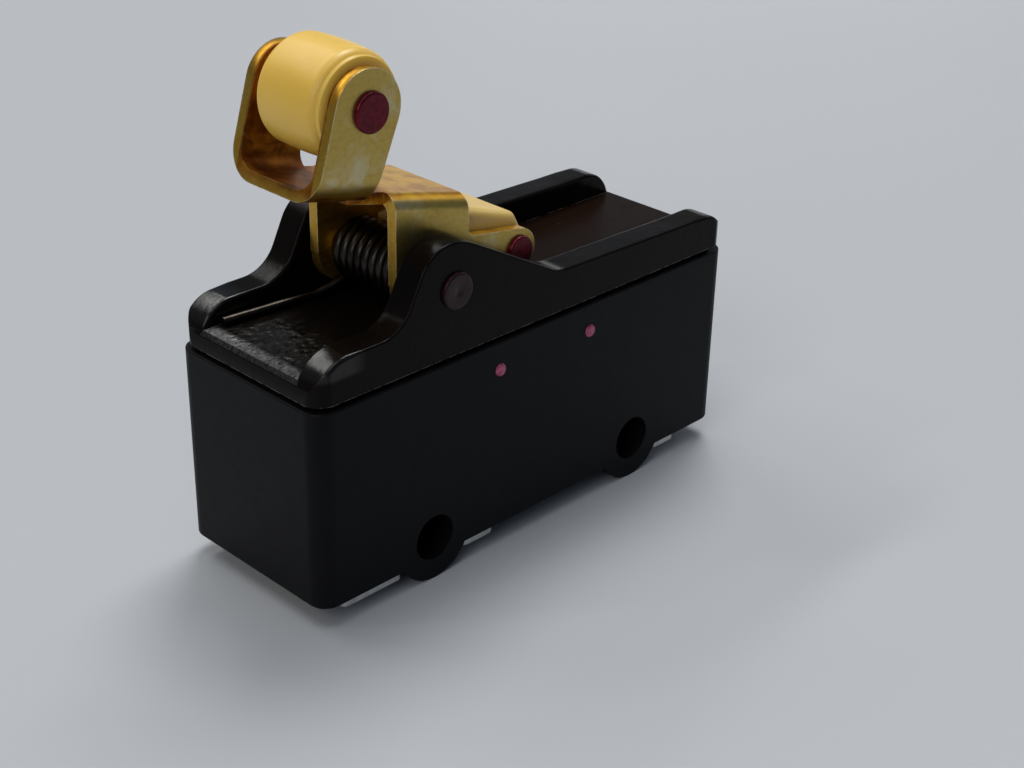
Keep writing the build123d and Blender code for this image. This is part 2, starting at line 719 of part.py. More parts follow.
with BuildPart() as no_post:
    for r, z0, z1 in ((2.4, 0.75, PLATE_Z0), (2.0, PLATE_Z0, 10.0)):
        with BuildSketch(Plane.XY.offset(z0)):
            with Locations((NO_X, 0)):
                Circle(r)
        extrude(amount=z1 - z0)
    with BuildSketch(Plane.XY.offset(0.75)):
        with Locations((NO_X, 0)):
            Circle(1.25)
    extrude(amount=5.0, mode=Mode.SUBTRACT)
no_post.part.label = "no_post"

with BuildPart() as nc_post:
    for r, z0, z1 in ((2.4, 0.75, PLATE_Z0), (2.0, PLATE_Z0, LOW_FLOOR_Z), (1.6, LOW_FLOOR_Z, 5.3), (2.2, 5.3, 6.0)):
        with BuildSketch(Plane.XY.offset(z0)):
            with Locations((NC_X, 0)):
                Circle(r)
        extrude(amount=z1 - z0)
    with BuildSketch(Plane.XY.offset(0.75)):
        with Locations((NC_X, 0)):
            Circle(1.25)
    extrude(amount=3.6, mode=Mode.SUBTRACT)
nc_post.part.label = "nc_post"

# ------------------------------------------------------------ fixed contacts
with BuildPart() as no_contact:
    with BuildSketch(Plane.XY.offset(10.0)):
        with Locations((NO_X, 0)):
            Circle(1.5)
    extrude(amount=0.6)
    chamfer(no_contact.faces().sort_by(Axis.Z)[-1].edges(), 0.12)
no_contact.part.label = "no_contact"

with BuildPart() as nc_contact:
    with BuildSketch(Plane.XY.offset(14.35)):
        with Locations((NO_X, 0)):
            Circle(1.5)
    extrude(amount=0.65)
    chamfer(nc_contact.faces().sort_by(Axis.Z)[0].edges(), 0.12)
nc_contact.part.label = "nc_contact"

# ---------------------------------------------------------------- NC bracket
with BuildPart() as nc_bracket:
    for x0, x1, y0, y1, z0, z1 in (
        (-7.7, -3.1, -2.2, 6.2, LOW_FLOOR_Z, 5.3),
        (-3.1, HUMP_A, 3.4, 6.2, LOW_FLOOR_Z, 5.3),
        (HUMP_A - 0.8, HUMP_A, 3.4, 6.2, LOW_FLOOR_Z, 9.0),
        (HUMP_A, 18.4, 3.4, 6.2, HUMP_Z, 9.0),
        (18.4, 22.0, 3.4, 6.4, HUMP_Z, 9.0),
        (18.4, 22.0, 5.6, 6.4, HUMP_Z, 15.8),
        (18.4, 22.0, -1.8, 6.4, 15.0, 15.8),
    ):
        with BuildSketch(Plane.XY.offset(z0)):
            with Locations(((x0 + x1) / 2, (y0 + y1) / 2)):
                Rectangle(x1 - x0, y1 - y0)
        extrude(amount=z1 - z0)
    with BuildSketch(Plane.XY.offset(LOW_FLOOR_Z)):
        with Locations((NC_X, 0)):
            Circle(1.62)
    extrude(amount=0.8, mode=Mode.SUBTRACT)
nc_bracket.part.label = "nc_bracket"

# ----------------------------------------------------------- terminal plates
PLATE_Y = 8.75
with BuildPart() as common_terminal:
    with BuildSketch(Plane.XY.offset(PLATE_Z0)):
        with Locations((-19.45, 0)):
            RectangleRounded(6.5, 2 * PLATE_Y, 0.5)
        with Locations((COM_X, 0)):
            Circle(2.02, mode=Mode.SUBTRACT)
    extrude(amount=PLATE_Z1 - PLATE_Z0)
common_terminal.part.label = "common_terminal"

with BuildPart() as nc_terminal:
    with BuildSketch(Plane.XY.offset(PLATE_Z0)):
        with Locations((-5.625, 0)):
            Rectangle(6.65, 13.0)
        with Locations((-7.175, 0)):
            RectangleRounded(3.55, 2 * PLATE_Y, 0.4)
        with Locations((NC_X, 0)):
            Circle(2.02, mode=Mode.SUBTRACT)
    extrude(amount=PLATE_Z1 - PLATE_Z0)
nc_terminal.part.label = "nc_terminal"

with BuildPart() as no_terminal:
    with BuildSketch(Plane.XY.offset(PLATE_Z0)):
        with Locations((19.7, 0)):
            Rectangle(6.6, 13.0)
        with Locations((17.9, 0)):
            RectangleRounded(3.0, 2 * PLATE_Y, 0.4)
        with Locations((NO_X, 0)):
            Circle(2.02, mode=Mode.SUBTRACT)
    extrude(amount=PLATE_Z1 - PLATE_Z0)
no_terminal.part.label = "no_terminal"

# -------------------------------------------------------------------- export
os.makedirs("parts", exist_ok=True)
export_step(case.part, "parts/case.step")
export_step(cover.part, "parts/cover.step")
export_step(cover_pins.part, "parts/cover_pins.step")
export_step(pivot_pin.part, "parts/pivot_pin.step")
export_step(pivot_sleeve.part, "parts/pivot_sleeve.step")
export_step(lever.part, "parts/lever.step")
export_step(roller.part, "parts/roller.step")
export_step(roller_pin.part, "parts/roller_pin.step")
export_step(shoe.part, "parts/shoe.step")
export_step(shoe_pin.part, "parts/shoe_pin.step")
export_step(torsion_spring.part, "parts/torsion_spring.step")
export_step(plunger.part, "parts/plunger.step")
export_step(snap_blade.part, "parts/snap_blade.step")
export_step(moving_contact.part, "parts/moving_contact.step")
export_step(leaf_anchor.part, "parts/leaf_anchor.step")
export_step(blade_spacer.part, "parts/blade_spacer.step")
export_step(blade_nut.part, "parts/blade_nut.step")
export_step(common_post.part, "parts/common_post.step")
export_step(no_post.part, "parts/no_post.step")
export_step(nc_post.part, "parts/nc_post.step")
export_step(no_contact.part, "parts/no_contact.step")
export_step(nc_contact.part, "parts/nc_contact.step")
export_step(nc_bracket.part, "parts/nc_bracket.step")
export_step(common_terminal.part, "parts/common_terminal.step")
export_step(nc_terminal.part, "parts/nc_terminal.step")
export_step(no_terminal.part, "parts/no_terminal.step")
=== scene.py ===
import math

import bmesh
import bpy
from mathutils import Matrix, Vector


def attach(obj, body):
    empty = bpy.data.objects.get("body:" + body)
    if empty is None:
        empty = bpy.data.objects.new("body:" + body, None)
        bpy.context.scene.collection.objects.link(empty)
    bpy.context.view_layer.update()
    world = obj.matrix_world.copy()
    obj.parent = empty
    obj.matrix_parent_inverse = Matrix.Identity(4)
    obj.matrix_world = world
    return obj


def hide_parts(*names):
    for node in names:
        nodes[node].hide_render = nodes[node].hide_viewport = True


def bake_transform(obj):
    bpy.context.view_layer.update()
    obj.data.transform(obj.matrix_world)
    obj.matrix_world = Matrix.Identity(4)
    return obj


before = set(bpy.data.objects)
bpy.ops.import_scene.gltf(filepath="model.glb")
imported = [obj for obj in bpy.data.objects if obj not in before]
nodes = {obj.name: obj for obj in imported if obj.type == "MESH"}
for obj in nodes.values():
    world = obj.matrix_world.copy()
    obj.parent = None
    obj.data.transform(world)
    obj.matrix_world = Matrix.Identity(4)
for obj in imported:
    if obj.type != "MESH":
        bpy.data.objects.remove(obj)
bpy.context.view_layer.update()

MM = 0.001

# ------------------------------------------------------------------ geometry
PX, PZ = -10.12, 26.28
RX, RZ = -15.95, 41.67
SX, SZ = 0.52, 25.65


def link(obj):
    bpy.context.scene.collection.objects.link(obj)
    return obj


def finish_mesh(bm, name, sharp=None):
    me = bpy.data.meshes.new(name)
    bm.normal_update()
    bm.to_mesh(me)
    bm.free()
    me.polygons.foreach_set("use_smooth", [True] * len(me.polygons))
    if sharp is not None:
        me.set_sharp_from_angle(angle=math.radians(sharp))
    me.update()
    obj = link(bpy.data.objects.new(name, me))
    return obj


def weighted(obj):
    mod = obj.modifiers.new("weighted", "WEIGHTED_NORMAL")
    mod.keep_sharp = True
    mod.weight = 60
    return obj


def refined(node, name, bevel, angle=28, segments=2, flat=0.6, where=None):
    """A copy of a CAD node with its facets merged and its edges softened."""
    bm = bmesh.new()
    bm.from_mesh(nodes[node].data)
    bmesh.ops.remove_doubles(bm, verts=bm.verts[:], dist=2e-6)
    bmesh.ops.dissolve_limit(
        bm, angle_limit=math.radians(flat), verts=bm.verts[:], edges=bm.edges[:]
    )
    bm.normal_update()
    chosen = [
        e
        for e in bm.edges
        if len(e.link_faces) == 2
        and e.calc_face_angle(0) > math.radians(angle)
        and (where is None or where((e.verts[0].co + e.verts[1].co) / 2 / MM))
    ]
    if chosen and bevel:
        bmesh.ops.bevel(
            bm,
            geom=chosen,
            offset=bevel * MM,
            offset_type="OFFSET",
            segments=segments,
            profile=0.5,
            affect="EDGES",
            clamp_overlap=True,
        )
    obj = finish_mesh(bm, name, sharp=50)
    weighted(obj)
    return obj


def lathe(name, cx, cz, profile, n=96):
    """Solid turned about an axis along Y through (cx, cz); profile is (y, r) pairs."""
    bm = bmesh.new()
    rings = []
    for y, r in profile:
        if r < 1e-6:
            rings.append([bm.verts.new((cx * MM, y * MM, cz * MM))])
        else:
            rings.append(
                [
                    bm.verts.new(
                        (
                            (cx + r * math.cos(2 * math.pi * k / n)) * MM,
                            y * MM,
                            (cz + r * math.sin(2 * math.pi * k / n)) * MM,
                        )
                    )
                    for k in range(n)
                ]
            )
    pairs = list(zip(rings, rings[1:]))
    if profile[0][1] > 1e-6 and profile[-1][1] > 1e-6:
        pairs.append((rings[-1], rings[0]))
    for a, b in pairs:
        for k in range(n):
            k2 = (k + 1) % n
            if len(a) == 1 and len(b) == 1:
                continue
            if len(a) == 1:
                bm.faces.new((a[0], b[k2], b[k]))
            elif len(b) == 1:
                bm.faces.new((a[k], a[k2], b[0]))
            else:
                bm.faces.new((a[k], a[k2], b[k2], b[k]))
    bmesh.ops.recalc_face_normals(bm, faces=bm.faces[:])
    return finish_mesh(bm, name, sharp=40)


def arc(y0, r0, y1, r1, bulge, n=6):
    """Quarter round between two profile points; bulge picks the outer corner."""
    cy, cr = bulge
    pts = []
    for k in range(n + 1):
        t = k / n * math.pi / 2
        # quarter ellipse through both points with its corner at (cy, cr)
        y = cy + (y0 - cy) * (1 - math.sin(t)) + (y1 - cy) * (1 - math.cos(t))
        r = cr + (r0 - cr) * (1 - math.sin(t)) + (r1 - cr) * (1 - math.cos(t))
        pts.append((y, r))
    return pts


def tube(name, points, radius, sides=16):
    """Round wire along a list of points in millimetres."""
    bm = bmesh.new()
    pts = [Vector(p) for p in points]
    tangents = []
    for i in range(len(pts)):
        a = pts[max(0, i - 1)]
        b = pts[min(len(pts) - 1, i + 1)]
        tangents.append((b - a).normalized())
    normal = tangents[0].orthogonal().normalized()
    rings = []
    for i, p in enumerate(pts):
        t = tangents[i]
        normal = (normal - t * normal.dot(t)).normalized()
        other = t.cross(normal)
        rings.append(
            [
                bm.verts.new(
                    (
                        p
                        + (normal * math.cos(2 * math.pi * k / sides) + other * math.sin(2 * math.pi * k / sides))
                        * radius
                    )
                    * MM
                )
                for k in range(sides)
            ]
        )
    for a, b in zip(rings, rings[1:]):
        for k in range(sides):
            k2 = (k + 1) % sides
            bm.faces.new((a[k], a[k2], b[k2], b[k]))
    bm.faces.new(list(reversed(rings[0])))
    bm.faces.new(rings[-1])
    caps = [e for ring in (rings[0], rings[-1]) for e in ring[0].link_edges if False]
    bmesh.ops.recalc_face_normals(bm, faces=bm.faces[:])
    return finish_mesh(bm, name, sharp=50)


# ----------------------------------------------------------------- materials
class Shader:
    """Small helper round one node tree; every lookup is in millimetres."""

    def __init__(self, name):
        self.mat = bpy.data.materials.new(name)
        self.mat.use_nodes = True
        self.nt = self.mat.node_tree
        self.nt.nodes.clear()
        self.out = self.nt.nodes.new("ShaderNodeOutputMaterial")
        self.bsdf = self.nt.nodes.new("ShaderNodeBsdfPrincipled")
        self.nt.links.new(self.bsdf.outputs[0], self.out.inputs[0])
        self._coord = None

    def node(self, kind, **props):
        n = self.nt.nodes.new(kind)
        for k, v in props.items():
            setattr(n, k, v)
        return n

    def set(self, socket, value):
        if isinstance(value, bpy.types.NodeSocket):
            self.nt.links.new(value, socket)
        elif hasattr(socket, "default_value"):
            if socket.type == "RGBA" and len(value) == 3:
                value = (*value, 1.0)
            socket.default_value = value

    def coord(self, scale=(1, 1, 1), offset=(0, 0, 0), rotation=(0, 0, 0)):
        if self._coord is None:
            self._coord = self.node("ShaderNodeTexCoord").outputs["Object"]
        m = self.node("ShaderNodeMapping")
        m.vector_type = "POINT"
        self.set(m.inputs["Vector"], self._coord)
        m.inputs["Scale"].default_value = [1000 * s for s in scale]
        m.inputs["Location"].default_value = offset
        m.inputs["Rotation"].default_value = rotation
        return m.outputs[0]

    def noise(self, scale, detail=4.0, rough=0.55, distort=0.0, vec=None, color=False):
        n = self.node("ShaderNodeTexNoise")
        self.set(n.inputs["Vector"], vec if vec is not None else self.coord())
        n.inputs["Scale"].default_value = scale
        n.inputs["Detail"].default_value = detail
        n.inputs["Roughness"].default_value = rough
        n.inputs["Distortion"].default_value = distort
        return n.outputs["Color" if color else "Fac"]

    def voronoi(self, scale, vec=None, feature="F1", output="Distance", randomness=1.0):
        n = self.node("ShaderNodeTexVoronoi", feature=feature)
        self.set(n.inputs["Vector"], vec if vec is not None else self.coord())
        n.inputs["Scale"].default_value = scale
        n.inputs["Randomness"].default_value = randomness
        return n.outputs[output]

    def ramp(self, fac, stops, mode="LINEAR"):
        n = self.node("ShaderNodeValToRGB")
        n.color_ramp.interpolation = mode
        els = n.color_ramp.elements
        while len(els) < len(stops):
            els.new(0.5)
        for el, (pos, col) in zip(els, stops):
            el.position = pos
            if not hasattr(col, "__len__"):
                col = (col, col, col)
            el.color = (*col, 1.0)
        self.set(n.inputs["Fac"], fac)
        return n.outputs["Color"]

    def smooth(self, value, low, high, out_low=0.0, out_high=1.0):
        n = self.node("ShaderNodeMapRange", interpolation_type="SMOOTHSTEP")
        self.set(n.inputs["Value"], value)
        n.inputs["From Min"].default_value = low
        n.inputs["From Max"].default_value = high
        n.inputs["To Min"].default_value = out_low
        n.inputs["To Max"].default_value = out_high
        return n.outputs["Result"]

    def math(self, op, a, b=0.0, clamp=False):
        n = self.node("ShaderNodeMath", operation=op, use_clamp=clamp)
        self.set(n.inputs[0], a)
        self.set(n.inputs[1], b)
        return n.outputs[0]

    def mix(self, fac, a, b, blend="MIX"):
        n = self.node("ShaderNodeMix", data_type="RGBA", blend_type=blend)
        self.set(n.inputs["Factor"], fac)
        self.set(n.inputs[6], a)
        self.set(n.inputs[7], b)
        return n.outputs[2]

    def edge(self, radius=0.25, low=0.02, high=0.25, samples=6):
        """About 1 near edges and 0 on open faces."""
        b = self.node("ShaderNodeBevel", samples=samples)
        b.inputs["Radius"].default_value = radius * MM
        g = self.node("ShaderNodeNewGeometry")
        d = self.node("ShaderNodeVectorMath", operation="DOT_PRODUCT")
        self.set(d.inputs[0], b.outputs[0])
        self.set(d.inputs[1], g.outputs["Normal"])
        inv = self.math("SUBTRACT", 1.0, d.outputs["Value"])
        return self.smooth(inv, low, high)

    def split(self):
        """The X, Y, Z of the surface point in millimetres."""
        s = self.node("ShaderNodeSeparateXYZ")
        self.set(s.inputs[0], self.coord())
        return s.outputs

    def normal_z(self):
        g = self.node("ShaderNodeNewGeometry")
        s = self.node("ShaderNodeSeparateXYZ")
        self.set(s.inputs[0], g.outputs["Normal"])
        return s.outputs

    def bump(self, *layers):
        """layers are (height, strength, distance in mm)."""
        last = None
        for height, strength, distance in layers:
            n = self.node("ShaderNodeBump")
            n.inputs["Strength"].default_value = strength
            n.inputs["Distance"].default_value = distance * MM
            self.set(n.inputs["Height"], height)
            if last is not None:
                self.set(n.inputs["Normal"], last)
            last = n.outputs[0]
        self.set(self.bsdf.inputs["Normal"], last)

    def principled(self, **values):
        for k, v in values.items():
            self.set(self.bsdf.inputs[k.replace("_", " ")], v)


def phenolic_case():
    s = Shader("phenolic_case")
    broad = s.noise(0.12, 3, 0.5)
    fine = s.noise(9.0, 3, 0.6)
    mid = s.noise(1.3, 4, 0.55)
    base = s.mix(broad, (0.0028, 0.0028, 0.0032), (0.0050, 0.0050, 0.0058))
    # dust and rubbed spots
    speck = s.smooth(s.voronoi(1.1), 0.0, 0.045, 1.0, 0.0)
    keep = s.smooth(s.noise(0.35, 2, 0.5), 0.58, 0.66)
    speck = s.math("MULTIPLY", speck, keep)
    base = s.mix(s.math("MULTIPLY", speck, 0.45), base, (0.085, 0.080, 0.075))
    # edges rubbed to a lighter grey
    edge = s.edge(0.28, 0.02, 0.35)
    pale_edge = s.math("MULTIPLY", edge, s.smooth(mid, 0.42, 0.68))
    base = s.mix(s.math("MULTIPLY", pale_edge, 0.5), base, (0.026, 0.025, 0.025))
    rough = s.math("ADD", s.math("MULTIPLY", mid, 0.16), 0.40)
    rough = s.math("SUBTRACT", rough, s.math("MULTIPLY", pale_edge, 0.08), clamp=True)
    s.principled(Base_Color=base, Roughness=rough, IOR=1.5, Specular_IOR_Level=0.10)
    s.bump((mid, 0.10, 0.05), (fine, 0.10, 0.012))
    return s.mat


def phenolic_cover():
    s = Shader("phenolic_cover")
    x, y, z = s.split()
    broad = s.noise(0.16, 3, 0.5)
    fine = s.noise(8.0, 4, 0.6)
    mid = s.noise(1.1, 5, 0.6)
    base = s.mix(broad, (0.0030, 0.0024, 0.0021), (0.0068, 0.0046, 0.0034))
    nz = s.normal_z()[2]
    up = s.smooth(nz, 0.75, 0.97)
    # scuffed end of the left deck
    scuff_zone = s.math("MULTIPLY", s.smooth(x, -15.0, -23.8), s.smooth(z, 24.0, 22.6))
    scratch = s.noise(1.0, 6, 0.7, 0.8, vec=s.coord((0.55, 1.5, 1.0), (3, 1, 0), (0, 0, 0.35)))
    scuff = s.math("MULTIPLY", scuff_zone, s.smooth(scratch, 0.44, 0.66))
    scuff = s.math("MULTIPLY", scuff, up)
    base = s.mix(s.math("MULTIPLY", scuff, 0.55), base, (0.030, 0.027, 0.025))
    # scraped band along the front edge of the left deck, lightened further as a painted highlight on that edge
    on_deck = s.math("MULTIPLY", s.smooth(z, 22.5, 22.3), s.smooth(nz, 0.45, 0.75))
    band_x = s.math("MULTIPLY", s.smooth(x, -23.0, -23.7), on_deck)
    hatch = s.noise(2.6, 6, 0.75, 0.6, vec=s.coord((0.8, 2.4, 1.0), (0, 0, 0), (0, 0, 0.5)))
    band = s.math("MULTIPLY", band_x, s.smooth(hatch, 0.36, 0.60))
    base = s.mix(s.math("MULTIPLY", band, 0.85), base, (0.20, 0.195, 0.195))
    pebble = s.voronoi(1.5, feature="SMOOTH_F1")
    pebble_zone = s.math("MULTIPLY", s.math("MULTIPLY", s.smooth(x, -17.0, -19.5), s.smooth(x, -24.2, -23.4)),
        s.math("MULTIPLY", on_deck, s.smooth(s.math("ABSOLUTE", y), 4.6, 3.6)))
    # light flecks on the right deck
    fleck_zone = s.math("MULTIPLY", s.smooth(x, 1.5, 4.0), s.smooth(z, 23.2, 22.0))
    brown = s.math("MULTIPLY", s.smooth(x, 1.0, 4.0), s.math("MULTIPLY", s.smooth(z, 21.9, 21.6), up))
    base = s.mix(s.math("MULTIPLY", brown, 0.8), base, (0.0135, 0.0062, 0.0036))
    fleck = s.smooth(s.noise(2.6, 5, 0.75, 1.2), 0.62, 0.74)
    fleck = s.math("MULTIPLY", s.math("MULTIPLY", fleck, fleck_zone), s.smooth(s.noise(0.22, 2, 0.5), 0.45, 0.60))
    base = s.mix(s.math("MULTIPLY", fleck, 0.7), base, (0.13, 0.085, 0.065))
    # edges lightened: rubbed wear, plus a painted edge highlight
    edge = s.edge(0.22, 0.02, 0.24)
    pale_edge = s.math("MULTIPLY", edge, s.smooth(s.noise(1.6, 5, 0.7), 0.44, 0.56))
    base = s.mix(s.math("MULTIPLY", pale_edge, 0.80), base, (0.16, 0.145, 0.13))
    speck = s.smooth(s.voronoi(0.9), 0.0, 0.05, 1.0, 0.0)
    speck = s.math("MULTIPLY", speck, s.smooth(s.noise(0.5, 2, 0.5), 0.52, 0.62))
    base = s.mix(s.math("MULTIPLY", speck, 0.5), base, (0.16, 0.14, 0.12))
    rough = s.math("ADD", s.math("MULTIPLY", mid, 0.16), 0.14)
    rough = s.math("ADD", rough, s.math("MULTIPLY", scuff, 0.25), clamp=True)
    spec = s.math("ADD", s.math("MULTIPLY", band, 0.4), 0.07)
    spec = s.math("ADD", spec, s.math("MULTIPLY", pale_edge, 0.35), clamp=True)
    spec = s.math("ADD", spec, s.math("MULTIPLY", pebble_zone, 0.10), clamp=True)
    # the rounded ends are the glossiest
    knob = s.math("MULTIPLY", s.smooth(x, -19.5, -21.5), s.smooth(z, 22.3, 22.8))
    spec = s.math("ADD", spec, s.math("MULTIPLY", knob, 0.25), clamp=True)
    s.principled(Base_Color=base, Roughness=rough, IOR=1.5, Specular_IOR_Level=spec)
    s.bump(
        (s.noise(0.5, 3, 0.5), 0.22, 0.12),
        (s.math("MULTIPLY", pebble, pebble_zone), 0.8, 0.16),
        (mid, 0.30, 0.07),
        (scratch, 0.15, 0.03),
        (fine, 0.14, 0.014),
    )
    return s.mat


def chromate():
    s = Shader("chromated_steel")
    x, y, z = s.split()
    # brushing follows the strip
    along = s.coord((0.10, 1.6, 1.6), (0, 0, 0), (0, math.radians(13.8), 0))
    streak = s.noise(2.2, 5, 0.65, 0.2, vec=along)
    mottle = s.noise(0.45, 5, 0.62, 0.5)
    fine = s.noise(2.4, 4, 0.6)
    gold = s.mix(s.smooth(mottle, 0.32, 0.70), (0.56, 0.29, 0.018), (0.60, 0.38, 0.060))
    # the flanks are greener than the web and the insides
    flank = s.smooth(s.math("ABSOLUTE", s.normal_z()[1]), 0.45, 0.95)
    outside = s.smooth(s.math("ABSOLUTE", y), 4.7, 5.3)
    flank = s.math("MULTIPLY", flank, outside)
    gold = s.mix(s.math("MULTIPLY", flank, 0.80), gold, (0.50, 0.385, 0.115))
    olive = s.mix(s.math("MULTIPLY", s.smooth(fine, 0.40, 0.70), 0.55), gold, (0.44, 0.30, 0.065))
    inside = s.math("SUBTRACT", 1.0, outside, clamp=True)
    # dark brushing streaks, deepened on the inner faces as painted shade
    streak_and_inner_shade = s.math("MULTIPLY", s.smooth(streak, 0.42, 0.68), s.math("ADD", s.math("MULTIPLY", inside, 0.45), 0.12))
    base = s.mix(streak_and_inner_shade, olive, (0.40, 0.18, 0.016))
    # the web is the warmest; the inside of the fork, round the roller, is darkest with painted shade
    web = s.math("MULTIPLY", inside, s.smooth(s.normal_z()[2], 0.6, 0.9))
    base = s.mix(s.math("MULTIPLY", web, 0.92), base, s.mix(s.smooth(mottle, 0.35, 0.65), (0.44, 0.19, 0.002), (0.72, 0.40, 0.012)))
    near_axis = s.math("SQRT", s.math("ADD",
        s.math("POWER", s.math("SUBTRACT", x, RX), 2.0), s.math("POWER", s.math("SUBTRACT", z, RZ), 2.0)))
    # painted shade: inner faces near the roller axis are darkened to brown
    fork_shade = s.math("MULTIPLY", s.smooth(s.math("ABSOLUTE", y), 4.62, 4.48), s.smooth(near_axis, 8.6, 7.6))
    base = s.mix(s.math("MULTIPLY", fork_shade, 0.95), base, s.mix(s.smooth(mottle, 0.35, 0.65), (0.13, 0.030, 0.0005), (0.42, 0.15, 0.003)))
    # pale bloom low on the flanks
    low_ear = s.math("MULTIPLY", s.smooth(z, 38.6, 36.0), s.smooth(x, -10.0, -12.0))
    bloom = s.smooth(s.math("ADD", s.noise(0.33, 4, 0.6, 0.3), s.math("MULTIPLY", low_ear, 0.12)), 0.52, 0.72)
    bloom = s.math("MULTIPLY", flank, bloom)
    base = s.mix(s.math("MULTIPLY", bloom, 0.55), base, (0.60, 0.57, 0.40))
    # small brown nicks
    nick = s.math("MULTIPLY", s.smooth(s.voronoi(1.3), 0.02, 0.10, 1.0, 0.0), s.smooth(s.noise(0.6, 2, 0.5), 0.50, 0.62))
    base = s.mix(s.math("MULTIPLY", nick, 0.55), base, (0.24, 0.16, 0.05))
    # brown stains
    stain = s.smooth(s.noise(0.7, 5, 0.7, 0.8), 0.60, 0.74)
    base = s.mix(s.math("MULTIPLY", stain, 0.55), base, (0.26, 0.14, 0.035))
    # edges lightened: worn chromate, plus a painted edge highlight
    edge = s.edge(0.22, 0.015, 0.22)
    pale_edge = s.math("MULTIPLY", edge, s.smooth(s.noise(1.1, 4, 0.6), 0.34, 0.58))
    pale_edge = s.math("MULTIPLY", pale_edge, s.math("SUBTRACT", 1.0, s.math("MULTIPLY", fork_shade, 0.7)))
    base = s.mix(s.math("MULTIPLY", pale_edge, 0.80), base, (0.90, 0.78, 0.50))
    rough = s.math("ADD", s.math("MULTIPLY", fine, 0.14), 0.28)
    rough = s.math("ADD", rough, s.math("MULTIPLY", fork_shade, 0.10))
    rough = s.math("ADD", rough, s.math("MULTIPLY", stain, 0.12), clamp=True)
    s.principled(Base_Color=base, Roughness=rough, Metallic=0.92)
    s.bump((mottle, 0.14, 0.08), (streak, 0.08, 0.02), (fine, 0.07, 0.008))
    return s.mat


def nylon(name, tint_a, tint_b):
    s = Shader(name)
    broad = s.noise(0.35, 3, 0.5)
    mid = s.noise(1.6, 4, 0.6)
    fine = s.noise(9.0, 3, 0.6)
    base = s.mix(broad, tint_a, tint_b)
    grime = s.smooth(s.noise(1.1, 5, 0.7, 0.6), 0.60, 0.76)
    base = s.mix(s.math("MULTIPLY", grime, 0.22), base, (0.42, 0.27, 0.10))
    edge = s.edge(0.30, 0.03, 0.35)
    base = s.mix(s.math("MULTIPLY", edge, 0.35), base, (0.95, 0.88, 0.62))
    rough = s.math("ADD", s.math("MULTIPLY", mid, 0.18), 0.30)
    s.principled(
        Base_Color=base,
        Roughness=rough,
        IOR=1.53,
        Subsurface_Weight=0.35,
        Subsurface_Scale=0.0012,
    )
    s.bsdf.inputs["Subsurface Radius"].default_value = (1.0, 0.75, 0.40)
    s.bump((mid, 0.12, 0.05), (fine, 0.08, 0.010))
    return s.mat


def lacquer(name, deep, light, metallic=0.55, rim_highlight=(0.34, 0.10, 0.12), coat=0.08):
    s = Shader(name)
    mid = s.noise(2.2, 4, 0.6)
    fine = s.noise(14.0, 3, 0.6)
    base = s.mix(s.smooth(mid, 0.35, 0.68), deep, light)
    chip = s.smooth(s.noise(3.4, 5, 0.7), 0.68, 0.75)
    edge = s.edge(0.14, 0.03, 0.35)
    # edges take a lighter red as a painted rim highlight
    base = s.mix(s.math("MULTIPLY", edge, 0.45), base, rim_highlight)
    base = s.mix(s.math("MULTIPLY", chip, 0.5), base, (0.40, 0.26, 0.20))
    rough = s.math("ADD", s.math("MULTIPLY", mid, 0.15), 0.24)
    s.principled(
        Base_Color=base, Roughness=rough, Metallic=metallic, Specular_IOR_Level=0.25, Coat_Weight=coat, Coat_Roughness=0.14
    )
    s.bump((mid, 0.18, 0.04), (fine, 0.10, 0.008))
    return s.mat


def metal(name, dark, light, rough=0.3, brushed=(1, 1, 1), metallic=1.0, tarnish=(0.3, 0.25, 0.2)):
    s = Shader(name)
    grain = s.noise(3.0, 5, 0.65, vec=s.coord(brushed))
    mid = s.noise(0.8, 4, 0.6)
    fine = s.noise(9.0, 3, 0.6)
    base = s.mix(s.smooth(mid, 0.3, 0.7), dark, light)
    spots = s.smooth(s.noise(1.4, 5, 0.7), 0.60, 0.76)
    base = s.mix(s.math("MULTIPLY", spots, 0.35), base, tarnish)
    edge = s.edge(0.14, 0.02, 0.35)
    base = s.mix(s.math("MULTIPLY", edge, 0.35), base, tuple(min(1, c * 1.35 + 0.08) for c in light))
    r = s.math("ADD", s.math("MULTIPLY", grain, 0.2), rough)
    s.principled(Base_Color=base, Roughness=r, Metallic=metallic)
    s.bump((grain, 0.12, 0.02), (fine, 0.08, 0.008))
    return s.mat


